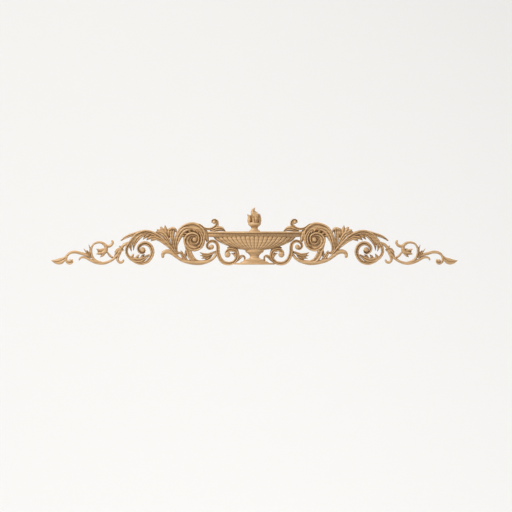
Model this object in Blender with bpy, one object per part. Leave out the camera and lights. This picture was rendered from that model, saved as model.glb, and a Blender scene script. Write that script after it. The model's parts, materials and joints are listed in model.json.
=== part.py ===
"""A carved oak pediment: acanthus scrolls on both sides of a gadrooned bowl with a flame on top.

The flat back lies in the plane y = 0, the carving faces -Y and +Z is up. The origin is on the back,
at mid-width and mid-height. Every size below is in millimetres: x from the centre line, z from the
base line, and heights measured forward from the back. The left half is described, and the scrolls
of the right half mirror it.
"""
import math

import bmesh
import bpy

WIDTH = 1200.0
HEIGHT = 172.0
DEPTH = 31.0
BASE_TO_ORIGIN = HEIGHT / 2
MM = 0.001

# Carving widths and heights that many of the forms share
FILLET = 6.0
SCROLL_HEIGHT = 16.0
LEAF_HEIGHT = 12.0
TIP_WIDTH = 1.6

# A blunt end wider than this is rounded: rings past the end as (reach, width, height), the reach as
# a share of half the end's width, the others as shares of its own width and height
BLUNT = 3.0
ROUNDED_END = ((0.75, 0.6, 0.86),)

# How finely a carved form is faceted
TURN_PER_FACET = math.radians(26)
STEP_PER_FACET = 24.0
SPAN_SAMPLES = 10
LOBE_STEPS = 3
SHARP_FROM = math.radians(35)
BOSS_FACETS = 8
BOSS_PROFILE = ((1.0, 0.55), (0.62, 0.93), (0.05, 1.0))

# The share of the joined form's facets that stays: most of the rest are slivers along the joins
FACETS_KEPT = 0.4
CUTTER_DEPTH = 60.0

# How far towards the centre of its bend a form may reach, as a share of the bend radius
TIGHTEST = 0.8

# The bowl, from the rim down
RIM_TOP = 100.4
RIM_BOTTOM = 94.6
RIM_HALF_WIDTH = 140.8
RIM_DEPTH = DEPTH
RIM_EASE = 0.8
BEAD_BOTTOM = 85.4
BEAD_HALF_WIDTH = 138.5
BEAD_DEPTH = 25.0
GADROONS = 18
GADROON_RELIEF = 3.6
HEAD_RISES = (1.0, 0.6)
BOWL_STRIDE = 10
BOWL_BOTTOM = 44.5
BOWL_TOP_DEPTH = 25.5
BOWL_BOTTOM_DEPTH = 20.0
EDGE_DEPTH = 6.0
GADROON_FACETS = 4
NECK_TOP = 43.5
BOWL_OUTLINE = ((82.0, 121.0), (76.0, 115.0), (70.0, 106.5), (64.0, 95.0), (58.0, 81.0), (52.0, 63.0),
                (47.0, 43.0))

# How many facets go round each turned form, and how square its plan is: 2 is an ellipse
RIM_SEGMENTS = 22
FOOT_SEGMENTS = 10
CUP_SEGMENTS = 8
FOOT_BOXINESS = 2.6
PLINTH_BOXINESS = 6.0


def smooth_path(points):
    """A smooth line through the given points, with several samples on each span."""
    ends = [tuple(2 * a - b for a, b in zip(points[0], points[1]))]
    ends += [tuple(p) for p in points]
    ends += [tuple(2 * a - b for a, b in zip(points[-1], points[-2]))]
    path = []
    for before, start, end, after in zip(ends, ends[1:], ends[2:], ends[3:]):
        gaps = [max(math.dist(a, b), 0.01) ** 0.5 for a, b in ((before, start), (start, end), (end, after))]
        for step in range(SPAN_SAMPLES):
            path.append(centripetal_point(before, start, end, after, gaps, step / SPAN_SAMPLES))
    path.append(tuple(points[-1]))
    return path


def centripetal_point(before, start, end, after, gaps, part):
    """The point a given part of the way from start to end, on a centripetal Catmull-Rom span."""
    knots = (0.0, gaps[0], gaps[0] + gaps[1], sum(gaps))
    t = knots[1] + part * gaps[1]

    def mix(a, b, low, high):
        share = (t - low) / (high - low)
        return tuple(p + (q - p) * share for p, q in zip(a, b))

    first = mix(before, start, knots[0], knots[1])
    second = mix(start, end, knots[1], knots[2])
    third = mix(end, after, knots[2], knots[3])
    early = mix(first, second, knots[0], knots[2])
    late = mix(second, third, knots[1], knots[3])
    return mix(early, late, knots[1], knots[2])


def volute(centre, radii, start, turn):
    """Points of a spiral from its radii at each quarter turn. turn is 1 anticlockwise, -1 clockwise."""
    points = []
    for quarter, (radius, following) in enumerate(zip(radii, radii[1:])):
        for half in (0.0, 0.5):
            angle = math.radians(start + turn * 90 * (quarter + half))
            reach = radius + (following - radius) * half
            points.append((centre[0] + reach * math.cos(angle), centre[1] + reach * math.sin(angle)))
    angle = math.radians(start + turn * 90 * (len(radii) - 1))
    points.append((centre[0] + radii[-1] * math.cos(angle), centre[1] + radii[-1] * math.sin(angle)))
    return points


def along(values, share):
    """The value a given share of the way through evenly spaced values, on a smooth curve."""
    place = min(share, 1.0) * (len(values) - 1)
    index = min(int(place), len(values) - 2)
    part = place - index
    start, end = values[index], values[index + 1]
    before = values[index - 1] if index > 0 else 2 * start - end
    after = values[index + 2] if index + 2 < len(values) else 2 * end - start
    bow = 2 * before - 5 * start + 4 * end - after + part * (3 * (start - end) + after - before)
    return max(start + 0.5 * part * (end - before + part * bow), min(values))


def stations(points):
    """Places along a smooth path, closer where it bends: (x, z, across x, across z, share, bend)."""
    path = smooth_path(points)
    lengths = [0.0]
    for before, here in zip(path, path[1:]):
        lengths.append(lengths[-1] + math.dist(before, here))
    headings = [0.0]
    for before, after in zip(path, path[2:]):
        heading = math.atan2(after[1] - before[1], after[0] - before[0])
        turned = (heading - headings[-1] + math.pi) % (2 * math.pi) - math.pi
        headings.append(headings[-1] + turned if len(headings) > 1 else heading)
    headings = [headings[1]] + headings[1:] + [headings[-1]]
    costs = [0.0]
    for index in range(1, len(path)):
        turned = abs(headings[index] - headings[index - 1])
        costs.append(costs[-1] + turned / TURN_PER_FACET
                     + (lengths[index] - lengths[index - 1]) / STEP_PER_FACET)
    count = max(2, round(costs[-1]))
    places = []
    index = 0
    for number in range(count + 1):
        wanted = costs[-1] * number / count
        while index < len(costs) - 2 and costs[index + 1] < wanted:
            index += 1
        part = min(max((wanted - costs[index]) / max(costs[index + 1] - costs[index], 1e-9), 0.0), 1.0)
        low, high = max(index - 2, 0), min(index + 3, len(path) - 1)
        bend = (headings[high] - headings[low]) / (lengths[high] - lengths[low])
        heading = headings[index] + (headings[index + 1] - headings[index]) * part
        x, z = (a + (b - a) * part for a, b in zip(path[index], path[index + 1]))
        share = (lengths[index] + (lengths[index + 1] - lengths[index]) * part) / lengths[-1]
        places.append((x, z, -math.sin(heading), math.cos(heading), share, bend))
    return places


def stem_section(width):
    """A round stem: pairs of distance from its left edge and share of its height."""
    return [(0.0, 0.45), (0.24 * width, 0.93), (0.76 * width, 0.93), (width, 0.45)]


def tip_section(width):
    """A narrow leaf lobe with one ridge."""
    return [(0.0, 0.4), (0.5 * width, 1.0), (width, 0.4)]


def leaf_section(width):
    """A leaf with a vein sunk along its middle."""
    return [(0.0, 0.45), (0.28 * width, 0.97), (0.5 * width, 0.72), (0.72 * width, 0.97), (width, 0.45)]


def band_left_section(width):
    """A scroll band: a raised fillet along its left edge and a hollow channel beside it."""
    fillet = min(FILLET, 0.5 * width)
    return [(0.0, 0.7), (0.5 * fillet, 1.0), (fillet, 0.66), (0.5 * (fillet + width), 0.78), (width, 0.5)]


def band_right_section(width):
    """The same band with the fillet along its right edge."""
    return [(width - place, share) for place, share in reversed(band_left_section(width))]


def channel_section(width):
    """A stem with two raised edges and a hollow between them."""
    return [(0.0, 0.7), (0.2 * width, 1.0), (0.5 * width, 0.74), (0.8 * width, 1.0), (width, 0.7)]


class Carving:
    """Collects the closed forms of the carving, which a Boolean union then makes one."""

    def __init__(self):
        self.forms = []

    def add(self, mesh):
        bmesh.ops.triangulate(mesh, faces=mesh.faces[:])
        if mesh.calc_volume(signed=True) < 0:
            bmesh.ops.reverse_faces(mesh, faces=mesh.faces[:])
        self.forms.append(mesh)

    def back(self):
        """How far behind the back plane the next form starts, before the flat cut."""
        return 2.0 + 0.37 * (len(self.forms) % 7)

    def loft(self, rings):
        """A closed form through rings of points, each (x, z, height)."""
        mesh = bmesh.new()
        rows = [[mesh.verts.new((x * MM, -height * MM, (z - BASE_TO_ORIGIN) * MM)) for x, z, height in ring]
                for ring in rings]
        for row, following in zip(rows, rows[1:]):
            for index in range(len(row)):
                after = (index + 1) % len(row)
                mesh.faces.new((row[index], row[after], following[after], following[index]))
        mesh.faces.new(rows[0][::-1])
        mesh.faces.new(rows[-1])
        self.add(mesh)

    def stroke(self, side, points, widths, heights, section, guide=0.5):
        """A carved form along a line.

        guide says where the line runs across the form: 0 its left edge, 0.5 its middle, 1 its right
        edge, as seen travelling along it. side is 1 as described, -1 mirrored.
        """
        back = self.back()
        rings = []
        for x, z, across_x, across_z, share, bend in stations(points):
            width = along(widths, share)
            height = along(heights, share)
            line = [(place, height * part) for place, part in section(width)]
            line = [(0.0, -back)] + line + [(width, -back)]
            ring = []
            for place, level in line:
                offset = guide * width - place
                if offset * bend > TIGHTEST:
                    offset = TIGHTEST / bend
                ring.append((side * (x + across_x * offset), z + across_z * offset, level))
            rings.append(ring)
        first_end = self.rounded_end(rings[0], rings[1], widths[0])
        last_end = self.rounded_end(rings[-1], rings[-2], widths[-1])
        self.loft(first_end[::-1] + rings + last_end)

    def rounded_end(self, ring, neighbour, width):
        """Rings that close a blunt end in a round."""
        if width < BLUNT:
            return []
        middle, inner = [((row[0][0] + row[-1][0]) / 2, (row[0][1] + row[-1][1]) / 2)
                         for row in (ring, neighbour)]
        length = max(math.dist(middle, inner), 1e-6)
        ahead = [(here - there) / length for here, there in zip(middle, inner)]
        rings = []
        for reach, width_share, height_share in ROUNDED_END:
            step = reach * width / 2
            rings.append([(middle[0] + ahead[0] * step + (x - middle[0]) * width_share,
                           middle[1] + ahead[1] * step + (z - middle[1]) * width_share,
                           level * height_share if level > 0 else level) for x, z, level in ring])
        return rings

    def boss(self, side, centre, radius, height, facets=BOSS_FACETS):
        """A round eye, domed on a low wall."""
        back = self.back()
        rings = []
        for share, part in ((1.0, -back / height),) + BOSS_PROFILE:
            level = part * height
            ring = []
            for number in range(facets):
                angle = 2 * math.pi * number / facets
                ring.append((side * (centre[0] + radius * share * math.cos(angle)),
                             centre[1] + radius * share * math.sin(angle), level))
            rings.append(ring)
        self.loft(rings)

    def half_round(self, levels, segments, boxiness=2.0):
        """A form turned about the vertical and flattened: levels are (z, half width, depth)."""
        back = self.back()
        rings = []
        for z, half_width, depth in levels:
            ring = [(half_width, z, -back), (-half_width, z, -back)]
            for number in range(segments + 1):
                angle = math.pi - math.pi * number / segments
                across = math.copysign(abs(math.cos(angle)) ** (2 / boxiness), math.cos(angle))
                forward = abs(math.sin(angle)) ** (2 / boxiness)
                ring.append((half_width * across, z, EDGE_DEPTH + (depth - EDGE_DEPTH) * forward))
            rings.append(ring)
        self.loft(rings)


def lobe(carving, side, root, lean, curl, reach, width, height, tip=TIP_WIDTH):
    """One lobe of a leaf. It leaves its root towards lean and turns by curl on its way, in degrees."""
    line = [root]
    for step in range(LOBE_STEPS):
        angle = math.radians(lean + curl * (step + 0.5) / LOBE_STEPS)
        x, z = line[-1]
        line.append((x + reach / LOBE_STEPS * math.cos(angle), z + reach / LOBE_STEPS * math.sin(angle)))
    carving.stroke(side, line, (0.4 * width, 0.9 * width, width, 0.75 * width, tip),
                   (0.4 * height, 0.85 * height, height, 0.98 * height, 0.8 * height), tip_section)


def big_scroll(carving, side):
    """The large volute beside the bowl, with the leaf that lines it."""
    line = [(-228.0, 34.0), (-236.5, 47.0)]
    line += volute((-177.6, 76.4), (60.5, 51.0, 33.0, 35.5, 32.5, 21.5, 15.4, 15.0, 11.5, 8.0), 180, -1)
    carving.stroke(side, line, (7, 8, 22, 26, 16, 16, 16, 13, 8.5, 3), (11, 14, 16, 16, 15, 16, 17, 17, 17),
                   band_left_section, guide=0.0)
    carving.boss(side, (-177.6, 76.4), 32.5, 9.0, 2 * BOSS_FACETS)
    carving.boss(side, (-177.0, 76.5), 7.5, 18.5)
    carving.stroke(side, [(-229, 40), (-230.5, 60), (-224, 84), (-212, 102), (-197, 109), (-178.5, 107)],
                   (4, 10, 18, 20, 16, 2), (9, 13, 15, 16, 16, 14), leaf_section)
    for x, z, lean, curl, reach in ((-221, 84, 35, -55, 19), (-212, 94, 15, -55, 17),
                                    (-199, 103, 0, -60, 15)):
        lobe(carving, side, (x, z), lean, curl, reach, 9, SCROLL_HEIGHT + 0.5)
    carving.stroke(side, [(-171, 107), (-160, 97), (-153, 82), (-155, 66), (-166, 51)], (3, 11, 14, 13, 2),
                   (14, 17, 17.5, 17, 14), leaf_section)
    for x, z, lean, curl, reach in ((-188, 110, -20, -45, 21), (-176, 107, -35, -45, 20),
                                    (-156, 68, -115, -45, 21)):
        lobe(carving, side, (x, z), lean, curl, reach, 9, SCROLL_HEIGHT + 1)


def small_scroll(carving, side):
    """The S scroll under the bowl: a small volute, a stem and a larger volute with a bulb."""
    line = [(-125, 50), (-134, 49), (-140, 57), (-136, 67), (-124, 72), (-112, 66), (-108, 54), (-108, 42),
            (-105, 28), (-98, 15), (-88, 7.5), (-75, 5.6), (-62, 9.3), (-53, 19), (-51, 31), (-55, 41),
            (-66, 46), (-77, 45), (-83, 38)]
    carving.stroke(side, line, (6, 8, 9, 10, 11, 12, 12, 11, 11, 11, 11, 10),
                   (15, 15, 15, 15, 14, 14, 14, 14, 15, 15), channel_section)
    carving.boss(side, (-126.5, 54.5), 7.0, 16.5)
    carving.boss(side, (-79.5, 32.0), 9.0, 16.5)
    carving.stroke(side, [(-57, 12), (-54.5, 24), (-58.5, 32), (-68, 35.5)], (5, 8, 9, 1.6),
                   (12, 13.5, 14, 12), tip_section)
    carving.stroke(side, [(-54, 11), (-47, 20), (-39, 27), (-32.5, 27.5), (-29, 23.5), (-28.8, 19)],
                   (4, 9, 10, 9, 6.5, 5), (10, 12, 13, 14, 13, 12), leaf_section)
    carving.stroke(side, [(-48, 33), (-53, 46), (-66, 54), (-80, 52)], (7, 9, 9, 3), (12, 13, 13, 9),
                   tip_section)


def lower_stem(carving, side):
    """The stem that runs from the S scroll under the large volute to a hooked end."""
    carving.stroke(side, [(-111, 35), (-121, 22), (-134, 13.5), (-152, 9), (-173, 8.2), (-193, 10),
                          (-214, 15.5), (-230, 25.5), (-243, 36), (-255, 41), (-265, 39.5), (-270.5, 33),
                          (-270.5, 26)],
                   (8, 9, 11.5, 15, 13.5, 11, 9.5, 11.5, 13, 9), (12, 13, 13, 13, 13, 13, 12, 11, 10, 9),
                   stem_section)
    carving.stroke(side, [(-162, 9), (-178, 15), (-189.5, 29), (-195, 44), (-204, 62)], (9, 15, 18, 15, 8),
                   (12, 14, 15, 15, 14), channel_section)
    carving.stroke(side, [(-199, 12), (-208, 24), (-217, 36), (-226, 38)], (8, 12, 10, 5), (11, 12, 12, 10),
                   leaf_section)
    for x, z, lean, curl, reach in ((-206, 20, 70, 30, 24), (-212, 27, 95, 25, 18), (-206, 13, 140, 20, 16)):
        lobe(carving, side, (x, z), lean, curl, reach, 8, LEAF_HEIGHT + 0.5)
    carving.stroke(side, [(-110, 43), (-124, 36), (-137, 32), (-150, 33.5), (-161, 38)], (4, 8, 9, 8, 2),
                   (11, 12, 13, 12, 9), leaf_section)
    for x, z, lean, curl, reach in ((-131, 33, 205, -35, 30), (-129, 32, 215, -25, 30),
                                    (-125, 31, 222, -15, 27)):
        lobe(carving, side, (x, z), lean, curl, reach, 8, 11)


def rim_curl(carving, side):
    """The stem that leaves the top of the large volute and curls up at the end of the rim."""
    carving.stroke(side, [(-178, 123), (-162, 119.5), (-150, 111), (-137, 107.5), (-124, 109),
                          (-115, 114.5), (-110, 122), (-110.5, 130), (-117, 135), (-124.5, 132.5),
                          (-125.5, 127)],
                   (6, 7, 7, 7, 8, 10, 11, 8, 6, 3.5), (13, 14, 14, 14, 14, 14, 14, 14, 14, 13),
                   channel_section)
    carving.boss(side, (-119.3, 128.3), 6.0, 15.5)
    carving.stroke(side, [(-128, 102), (-114, 107), (-100, 109), (-85.5, 101)], (6, 13, 14, 2),
                   (14, 17, 16, 11), leaf_section)
    lobe(carving, side, (-112, 107.5), 70, -60, 12, 8, 15)
    carving.stroke(side, [(-147, 108), (-143.5, 92), (-140, 78), (-137, 66)], (8, 14, 12, 5),
                   (12, 14, 14, 13), tip_section)


def arch_scroll(carving, side):
    """The stem that arches outwards into the second volute, with its hanging leaves."""
    carving.stroke(side, [(-225, 30), (-237, 46), (-250, 62), (-266, 79), (-283, 93), (-299, 101),
                          (-314, 105), (-327, 105), (-340, 101), (-352, 94), (-363, 82), (-373, 68),
                          (-381, 54), (-382, 37), (-373, 21), (-356, 8), (-336, 1), (-314, 7), (-300, 23),
                          (-295, 41), (-303, 62), (-318, 71), (-332, 70), (-343, 62), (-348, 50),
                          (-343, 38), (-332, 32.5), (-323, 37), (-321, 45)],
                   (8, 10, 12, 12, 12, 11, 10, 9, 9, 10, 12, 13, 12, 8, 2.5),
                   (11, 13, 14, 15, 15, 15, 14, 14, 14, 15, 15, 16, 16, 16, 16),
                   band_right_section, guide=1.0)
    carving.boss(side, (-330.0, 46.0), 8.0, 17.5)
    carving.stroke(side, [(-243, 46), (-262, 63), (-281, 77), (-300, 82), (-318, 76)], (5, 9, 12, 11, 2),
                   (10, 12, 13, 13, 11), leaf_section)
    for x, z, lean, curl, reach in ((-284, 80, 178, 45, 24), (-294, 86, 180, 50, 28),
                                    (-304, 92, 185, 55, 30)):
        lobe(carving, side, (x, z), lean, curl, reach, 10, LEAF_HEIGHT + 1)
    carving.stroke(side, [(-334, 94), (-352, 82), (-364, 66), (-366, 54), (-363, 42)], (6, 12, 13, 10, 2),
                   (13, 13, 12, 11, 8), leaf_section)
    carving.stroke(side, [(-322, 92), (-338, 85), (-350, 72), (-356, 58), (-357, 45)], (6, 12, 13, 9, 2),
                   (13, 14, 13, 11, 8), leaf_section)
    carving.stroke(side, [(-371, 28), (-356, 17), (-339, 15), (-324, 22), (-312, 31)], (4, 14, 17, 13, 5),
                   (10, 12, 13, 12, 12), leaf_section)
    for x, z, lean, curl, reach in ((-362, 17, 95, -50, 19), (-349, 18, 80, -45, 17),
                                    (-336, 18, 70, -40, 19)):
        lobe(carving, side, (x, z), lean, curl, reach, 8, LEAF_HEIGHT + 1)
    carving.stroke(side, [(-336, 100), (-354, 93), (-369, 88), (-382, 82), (-393.5, 73.5)], (7, 9, 10, 8, 4),
                   (13, 13, 11, 10, 7), leaf_section)


def flower_buds(carving, side):
    """The two buds that rise from the junction between the volutes."""
    carving.stroke(side, [(-241, 46), (-249, 62), (-258, 79), (-269, 93), (-289, 99)], (5, 8, 13, 15, 5),
                   (10, 12, 13, 14, 10), leaf_section)
    for x, z, lean, curl, reach, width, tip in (
            (-266, 90, 138, 10, 24.5, 15, 6), (-264, 88, 113, 8, 27, 15, 6),
            (-258, 84, 103, -6, 35, 13, TIP_WIDTH), (-252, 84, 96, -12, 24, 13, 5)):
        lobe(carving, side, (x, z), lean, curl, reach, width, LEAF_HEIGHT + 0.5, tip)
    carving.stroke(side, [(-239, 48), (-241.5, 66), (-243.5, 84), (-243, 101)], (5, 8, 13, 18),
                   (10, 12, 13, 11), leaf_section)
    carving.stroke(side, [(-254, 101), (-249, 107), (-241, 109.5), (-234, 106.5), (-231.5, 99)],
                   (5, 8, 9, 8, 4), (11, 14, 15, 14, 12), tip_section)


def outer_scroll(carving, side):
    """The collar, the wave band and the third volute, with its leaves."""
    carving.stroke(side, [(-374, 66), (-383, 62), (-391, 54), (-397, 44), (-403, 34), (-411, 24), (-422, 15),
                          (-435, 9), (-450, 6), (-466, 8), (-483, 15), (-496, 22), (-506, 24), (-514, 22),
                          (-517, 17)],
                   (8, 9, 10, 9, 8, 8, 9, 9, 9, 8, 7, 5), (13, 13, 13, 12, 12, 12, 12, 12, 11, 10, 9, 8),
                   stem_section)
    carving.stroke(side, [(-397.5, 56.5), (-393.5, 52), (-389.5, 47.5)], (5, 7, 5), (14, 15, 14),
                   tip_section)
    carving.stroke(side, [(-391, 46), (-401, 42), (-414, 27)], (10, 14, 1.6), (13, 13, 8), leaf_section)
    carving.stroke(side, [(-391, 46), (-402, 48), (-413, 39)], (7, 8, 1.6), (12, 12, 8), tip_section)
    carving.stroke(side, [(-395, 38), (-402, 26), (-404, 16), (-398, 9), (-390, 10), (-387, 15)],
                   (5, 7, 8, 8, 8, 6), (11, 11, 11, 11, 11, 10), stem_section)
    carving.stroke(side, [(-447, 6), (-465, 11), (-476, 21), (-481, 36), (-481, 51), (-474, 63), (-461, 68),
                          (-448, 66), (-439, 57), (-439, 45), (-446, 37), (-457, 37)],
                   (8, 10, 8, 6, 6, 6, 7, 8, 11, 13, 8), (11, 12, 12, 12, 12, 12, 12, 12, 13, 13, 10),
                   stem_section)
    carving.stroke(side, [(-441, 41), (-450, 41), (-459, 40.5)], (14, 19, 9), (10, 10, 8), tip_section)
    for x, z, lean, curl, reach in ((-444, 44, 190, -45, 24), (-443, 39, 200, -15, 25),
                                    (-441, 37, 222, 0, 19)):
        lobe(carving, side, (x, z), lean, curl, reach, 9, LEAF_HEIGHT + 0.5)
    carving.stroke(side, [(-453, 68), (-441, 60), (-431, 56.5), (-423, 60), (-418.5, 67), (-420, 72)],
                   (5, 8, 9, 9, 8, 6), (11, 12, 12, 12, 12, 10), stem_section)
    carving.stroke(side, [(-416, 22), (-426, 28), (-435, 40)], (5, 7, 4), (10, 11, 11), tip_section)
    for tip_x, tip_z, bend, width in ((-489, 61, 4, 7), (-504, 49, 0, 6), (-495, 45, 2, 5)):
        carving.stroke(side, [(-487, 24), ((tip_x - 487) / 2 + bend, (tip_z + 28) / 2), (tip_x, tip_z)],
                       (6, width, TIP_WIDTH), (10, 11, 7), tip_section)


def end_spray(carving, side):
    """The end stem with its small volute, and the end leaf."""
    carving.stroke(side, [(-483, 24), (-497, 31), (-512, 35.5), (-530, 39.5), (-544, 37), (-553, 29),
                          (-556, 18), (-553, 9), (-545, 5), (-538, 9), (-538, 16)],
                   (5, 8, 9, 9, 9, 8, 7, 7, 6, 5), (9, 10, 10, 10, 10, 10, 10, 10, 10, 10), stem_section)
    carving.boss(side, (-544.5, 13.0), 5.5, 11.0)
    carving.stroke(side, [(-553, 30), (-562, 19), (-574, 12), (-587, 11.5), (-599.8, 14.5)],
                   (4, 12, 19, 14, TIP_WIDTH), (9, 9, 9, 8, 6), leaf_section)
    lobe(carving, side, (-566, 14), 130, 40, 13, 7, 8.5)


def bowl(carving):
    """The bowl: rim, bead band, gadrooned body, neck and foot."""
    carving.half_round([(RIM_BOTTOM, RIM_HALF_WIDTH - 1.5, RIM_DEPTH - 4),
                        (RIM_BOTTOM + 2, RIM_HALF_WIDTH, RIM_DEPTH),
                        (RIM_TOP - RIM_EASE, RIM_HALF_WIDTH, RIM_DEPTH),
                        (RIM_TOP, RIM_HALF_WIDTH - RIM_EASE, RIM_DEPTH - RIM_EASE)], RIM_SEGMENTS)
    carving.half_round([(BEAD_BOTTOM - 2, BEAD_HALF_WIDTH - 7, BEAD_DEPTH - 5),
                        (BEAD_BOTTOM, BEAD_HALF_WIDTH, BEAD_DEPTH),
                        (RIM_BOTTOM + 0.9, BEAD_HALF_WIDTH, BEAD_DEPTH)], RIM_SEGMENTS)
    gadroons(carving)
    carving.half_round([(48.5, 47.0, 19.0), (BOWL_BOTTOM, 28.0, 20.5), (NECK_TOP, 27.0, 20.5),
                        (39.0, 26.0, 21.0), (36.5, 21.5, 18.5), (31.5, 16.0, 16.5), (26.5, 13.0, 15.5),
                        (22.5, 14.5, 16.0), (19.5, 20.0, 17.0), (17.2, 29.0, 18.0)], FOOT_SEGMENTS)
    carving.half_round([(18.3, 31.5, 18.0), (12.8, 33.0, 18.5), (11.8, 37.0, 18.0), (8.6, 42.0, 19.5),
                        (7.0, 44.0, 20.0)], FOOT_SEGMENTS, FOOT_BOXINESS)
    carving.half_round([(7.6, 59.5, 25.0), (2.2, 59.5, 25.0)], FOOT_SEGMENTS, PLINTH_BOXINESS)


def gadroons(carving):
    """The body of the bowl: half-round lobes with round heads, which narrow towards its bottom.

    A head rises above the straight part of its lobe by up to half the lobe's width.
    """
    back = carving.back()
    top, bottom = BOWL_OUTLINE[0][0], BOWL_OUTLINE[-1][0]
    head_radius = BOWL_OUTLINE[0][1] / GADROONS
    levels = [(top + head_radius * rise, BOWL_OUTLINE[0][1] + rise, 0.0, 1.0, rise) for rise in HEAD_RISES]
    outline = smooth_path(BOWL_OUTLINE)[::BOWL_STRIDE]
    for z, half_width in outline:
        drop = (top - z) / (top - bottom)
        setback = (BOWL_TOP_DEPTH - BOWL_BOTTOM_DEPTH) * drop ** 1.5
        levels.append((z, half_width, setback, 1 - 0.6 * drop, 0.0))
    rings = []
    for z, half_width, setback, relief, rise in levels:
        ring = [(half_width, z, -back), (-half_width, z, -back)]
        for number in range(GADROONS * GADROON_FACETS + 1):
            across = 2 * number / (GADROONS * GADROON_FACETS) - 1
            place = 2 * (number % GADROON_FACETS) / GADROON_FACETS - 1
            swell = math.sqrt(max(0.0, 1 - place * place - rise * rise))
            forward = math.sqrt(max(0.0, 1 - across * across))
            level = EDGE_DEPTH + (BOWL_TOP_DEPTH - setback - EDGE_DEPTH) * forward
            ring.append((half_width * across, z, level - relief * GADROON_RELIEF * (1 - swell)))
        rings.append(ring)
    carving.loft(rings)


def flame(carving):
    """The cup on top of the rim and the flame in it."""
    carving.half_round([(RIM_TOP - 2.0, 18.0, 17.0), (RIM_TOP + 1.2, 16.5, 16.0), (106.0, 11.0, 13.5),
                        (109.0, 9.3, 13.0), (113.0, 11.0, 14.0), (117.5, 15.0, 17.0), (119.5, 17.5, 19.0),
                        (123.5, 19.2, 19.5), (126.7, 17.0, 18.0)], CUP_SEGMENTS)
    for line, widths, heights in (
            ([(0, 122), (0, 136), (0, 146), (-1, 152), (-3.5, 158)], (28, 33, 37, 34, 24, 12),
             (10, 11, 11.5, 11.5, 11, 10)),
            ([(1, 122), (5, 134), (4, 144), (-2.5, 152.5), (-4.5, 161), (1.5, 171.5)],
             (16, 22, 22, 17, 11, 1.6), (14, 17, 18, 17, 14, 9)),
            ([(-12, 122), (-15, 130), (-14, 138), (-16, 144), (-21, 150.7)], (8, 12, 13, 9, 1.6),
             (13, 15, 16, 14, 10)),
            ([(13, 122), (16, 133), (16, 143), (15.5, 152.7)], (9, 9, 7, 1.6), (14, 16, 15, 12)),
            ([(-2, 122), (-2, 134), (-4, 142), (-11, 147)], (13, 12, 8, 1.6), (17, 18.5, 18, 14)),
            ([(8, 122), (8, 132), (9.5, 140), (12, 147.5)], (7, 6, 5, 1.6), (17, 18.5, 18, 14))):
        carving.stroke(1, line, widths, heights, tip_section)


def build_carving():
    carving = Carving()
    for side in (1, -1):
        big_scroll(carving, side)
        small_scroll(carving, side)
        lower_stem(carving, side)
        rim_curl(carving, side)
        arch_scroll(carving, side)
        flower_buds(carving, side)
        outer_scroll(carving, side)
        end_spray(carving, side)
    bowl(carving)
    flame(carving)
    return carving


def new_object(name, mesh, collection):
    data = bpy.data.meshes.new(name)
    mesh.to_mesh(data)
    item = bpy.data.objects.new(name, data)
    collection.objects.link(item)
    return item


def as_guide(item):
    item.hide_render = True
    item.display_type = "WIRE"
    return item


def back_cutter(collection):
    """A block behind the plane of the back, which cuts the carving off flat."""
    mesh = bmesh.new()
    bmesh.ops.create_cube(mesh, size=1.0)
    bmesh.ops.scale(mesh, vec=(1.2 * WIDTH * MM, CUTTER_DEPTH * MM, 1.5 * HEIGHT * MM), verts=mesh.verts[:])
    bmesh.ops.translate(mesh, vec=(0.0, 0.5 * CUTTER_DEPTH * MM, 0.0), verts=mesh.verts[:])
    return as_guide(new_object("back_cutter", mesh, collection))


def oak_material():
    material = bpy.data.materials.new("oiled_oak")
    material.use_nodes = True
    shader = material.node_tree.nodes["Principled BSDF"]
    shader.inputs["Base Color"].default_value = (0.52, 0.33, 0.16, 1.0)
    shader.inputs["Roughness"].default_value = 0.5
    shader.inputs["Metallic"].default_value = 0.0
    return material


def join_forms(pediment, forms, cutter):
    """Unite the carving's forms with the first one, cut the back flat and thin out the facets."""
    union = pediment.modifiers.new("join_forms", "BOOLEAN")
    union.operation = "UNION"
    union.solver = "MANIFOLD"
    union.operand_type = "COLLECTION"
    union.collection = forms
    cut = pediment.modifiers.new("flat_back", "BOOLEAN")
    cut.operation = "DIFFERENCE"
    cut.solver = "MANIFOLD"
    cut.object = cutter
    facets = pediment.modifiers.new("fewer_facets", "DECIMATE")
    facets.decimate_type = "COLLAPSE"
    facets.ratio = FACETS_KEPT
    facets.use_collapse_triangulate = True


def keep_result(item):
    """Keep the result of the modifiers as the object's own mesh, shaded smooth between its edges."""
    evaluated = item.evaluated_get(bpy.context.evaluated_depsgraph_get())
    result = bpy.data.meshes.new_from_object(evaluated)
    item.modifiers.clear()
    item.data = result
    result.name = item.name
    result.shade_smooth()
    result.set_sharp_from_angle(angle=SHARP_FROM)


def main():
    for item in list(bpy.data.objects):
        bpy.data.objects.remove(item)
    scene_objects = bpy.context.scene.collection
    guides = bpy.data.collections.new("carving_forms")
    scene_objects.children.link(guides)
    first, *others = build_carving().forms
    pediment = new_object("carved_pediment", first, scene_objects)
    for number, form in enumerate(others, 1):
        as_guide(new_object(f"form_{number}", form, guides))
    cutter = back_cutter(scene_objects)
    join_forms(pediment, guides, cutter)
    keep_result(pediment)
    pediment.data.materials.clear()
    pediment.data.materials.append(oak_material())
    for item in (cutter, *guides.objects):
        bpy.data.objects.remove(item)
    bpy.data.collections.remove(guides)


main()
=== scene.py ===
"""The looks of the carved oak pediment: its finely carved surface, its oiled oak, light and camera.

The carving repeats the forms of the solid that it replaces, from the same named values, with fine
facets, rounded sections, and reeds on the band under the rim. Sizes of the carving are in
millimetres: x from the centre line, z from the base line, and heights measured forward from the flat
back. The studio, the lights and the camera are in metres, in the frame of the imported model.
"""
import json
import math

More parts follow.
